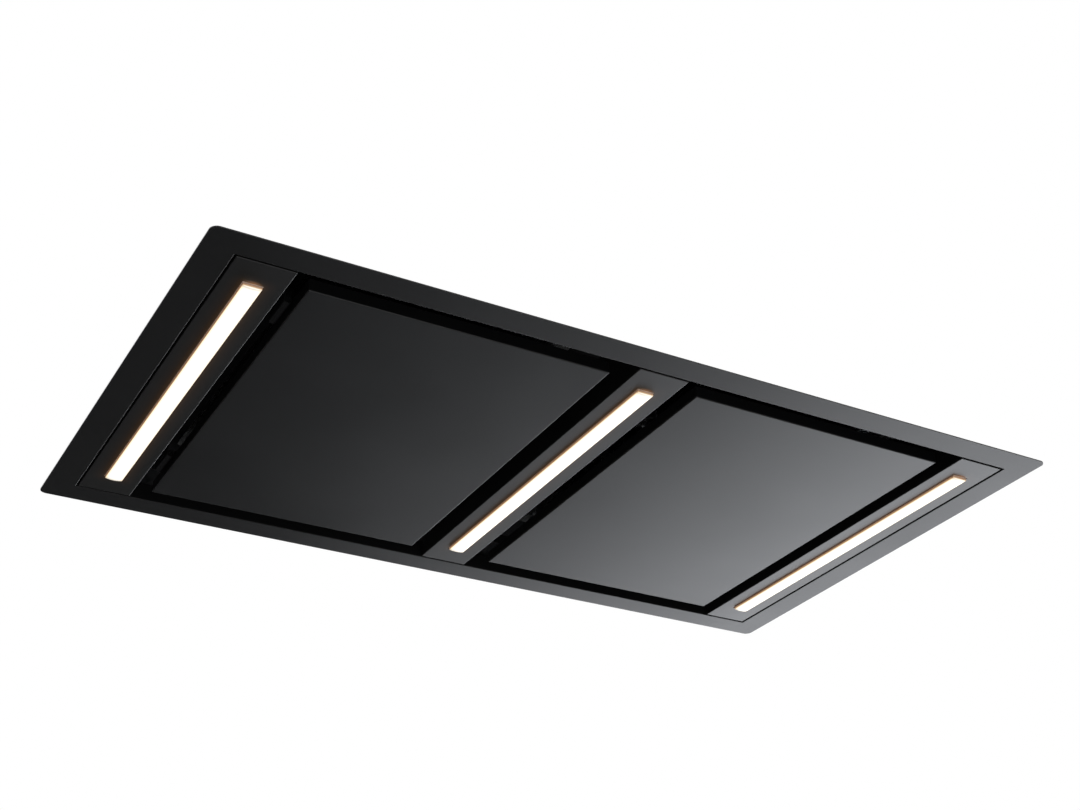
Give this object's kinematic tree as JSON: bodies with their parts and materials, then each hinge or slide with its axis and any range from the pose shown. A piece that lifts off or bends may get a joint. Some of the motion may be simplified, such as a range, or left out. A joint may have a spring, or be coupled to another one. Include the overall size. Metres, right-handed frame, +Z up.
{
  "type": "ceiling range hood",
  "caption": "Flush ceiling hood: black frame with lamp bars and hinged suction panels below, steel housing with filters, blower and rear duct outlet above.",
  "frame": {"origin": "centre of the ceiling cut-out, in the plane of the ceiling's underside where the gasket seats", "axes": "+X along the frame's length, +Y towards the duct outlet's wall, +Z up into the ceiling"},
  "size_m": [1.2, 0.7229, 0.3345],
  "materials": {
    "black_frame": "satin black powder coat",
    "black_bar": "satin black powder coat",
    "black_panel": "satin black lacquer, a little glossier",
    "opal_lens": "opal, lit warm white",
    "light_board": "white board with warm lamps",
    "extruded_aluminium": "mill finish",
    "galvanised_sheet": "galvanised",
    "deck_sheet": "satin black powder coat",
    "seal": "closed-cell foam",
    "zinc_fastener": "bright zinc",
    "hinge_steel": "zinc plated",
    "stainless_filter": "fine brushed",
    "filter_mesh": "expanded sheet",
    "latch_black": "moulded",
    "impeller_metal": "galvanised",
    "motor_casting": "die cast",
    "motor_core": "laminated",
    "bearing_steel": "ground",
    "damper_aluminium": "sheet",
    "box_grey": "moulded",
    "board_green": "lacquered board",
    "driver_white": "moulded",
    "gland_black": "moulded"
  },
  "bodies": {
    "housing": {"flange_frame": "black_frame", "light_bar_left": "black_bar", "light_bar_middle": "black_bar", "light_bar_right": "black_bar", "diffuser_left": "opal_lens", "diffuser_middle": "opal_lens", "diffuser_right": "opal_lens", "led_strip_left": "light_board", "led_strip_middle": "light_board", "led_strip_right": "light_board", "led_tray_left": "extruded_aluminium", "led_tray_middle": "extruded_aluminium", "led_tray_right": "extruded_aluminium", "housing_wrapper": "galvanised_sheet", "housing_end_left": "galvanised_sheet", "housing_end_right": "galvanised_sheet", "blower_scroll": "galvanised_sheet", "outlet_duct": "galvanised_sheet", "outlet_collar": "galvanised_sheet", "hanger_bracket_front_left": "galvanised_sheet", "hanger_bracket_front_right": "galvanised_sheet", "hanger_bracket_rear_left": "galvanised_sheet", "hanger_bracket_rear_right": "galvanised_sheet", "motor_bracket": "galvanised_sheet", "filter_deck": "deck_sheet", "flange_gasket": "seal", "lip_nuts": "zinc_fastener", "chassis_screws": "zinc_fastener", "bracket_screws": "zinc_fastener", "hinge_brackets": "hinge_steel", "hinge_pins": "hinge_steel", "panel_catches": "hinge_steel", "damper_pin": "hinge_steel", "filter_frame_left": "stainless_filter", "filter_frame_right": "stainless_filter", "filter_mesh_left": "filter_mesh", "filter_mesh_right": "filter_mesh", "motor_housing": "motor_casting", "motor_stator": "motor_core", "motor_bearings": "bearing_steel", "control_box": "box_grey", "control_box_lid": "box_grey", "control_board": "board_green", "led_driver": "driver_white", "cable_gland": "gland_black"},
    "panel_left": {"panel_tray_left": "black_panel", "panel_backing_left": "deck_sheet", "panel_hinge_left": "hinge_steel", "panel_striker_left": "hinge_steel"},
    "latch_left": {"filter_latch_left": "latch_black"},
    "flap_left": {"damper_flap_left": "damper_aluminium"},
    "panel_right": {"panel_tray_right": "black_panel", "panel_backing_right": "deck_sheet", "panel_hinge_right": "hinge_steel", "panel_striker_right": "hinge_steel"},
    "latch_right": {"filter_latch_right": "latch_black"},
    "flap_right": {"damper_flap_right": "damper_aluminium"},
    "fan_rotor": {"impeller": "impeller_metal", "impeller_lower": "impeller_metal", "motor_rotor": "motor_core"}
  },
  "joints": [
    {"name": "panel_left_hinge", "type": "hinge", "parent": "housing", "child": "panel_left", "pos_m": [-0.4684, 0, 0.01], "axis": [0, 1, 0], "range_deg": [0, 90]},
    {"name": "latch_left_slide", "type": "slide", "parent": "housing", "child": "latch_left", "axis": [-1, 0, 0], "range_m": [0, 0.008], "stiffness_N_per_m": 200, "springref_m": -0.004},
    {"name": "flap_left_hinge", "type": "hinge", "parent": "housing", "child": "flap_left", "pos_m": [0.069, 0.33695, 0.177], "axis": [0, 0, -1], "range_deg": [0, 75], "stiffness_Nm_per_rad": 0.004, "springref_deg": -17.19},
    {"name": "panel_right_hinge", "type": "hinge", "parent": "housing", "child": "panel_right", "pos_m": [0.4684, 0, 0.01], "axis": [0, -1, 0], "range_deg": [0, 90]},
    {"name": "latch_right_slide", "type": "slide", "parent": "housing", "child": "latch_right", "axis": [1, 0, 0], "range_m": [0, 0.008], "stiffness_N_per_m": 200, "springref_m": -0.004},
    {"name": "flap_right_hinge", "type": "hinge", "parent": "housing", "child": "flap_right", "pos_m": [0.069, 0.33695, 0.177], "axis": [0, 0, 1], "range_deg": [0, 75], "stiffness_Nm_per_rad": 0.004, "springref_deg": -17.19},
    {"name": "fan_spin", "type": "hinge", "parent": "housing", "child": "fan_rotor", "pos_m": [-0.07, -0.045, 0.177], "axis": [0, 0, 1], "continuous": true}
  ]
}
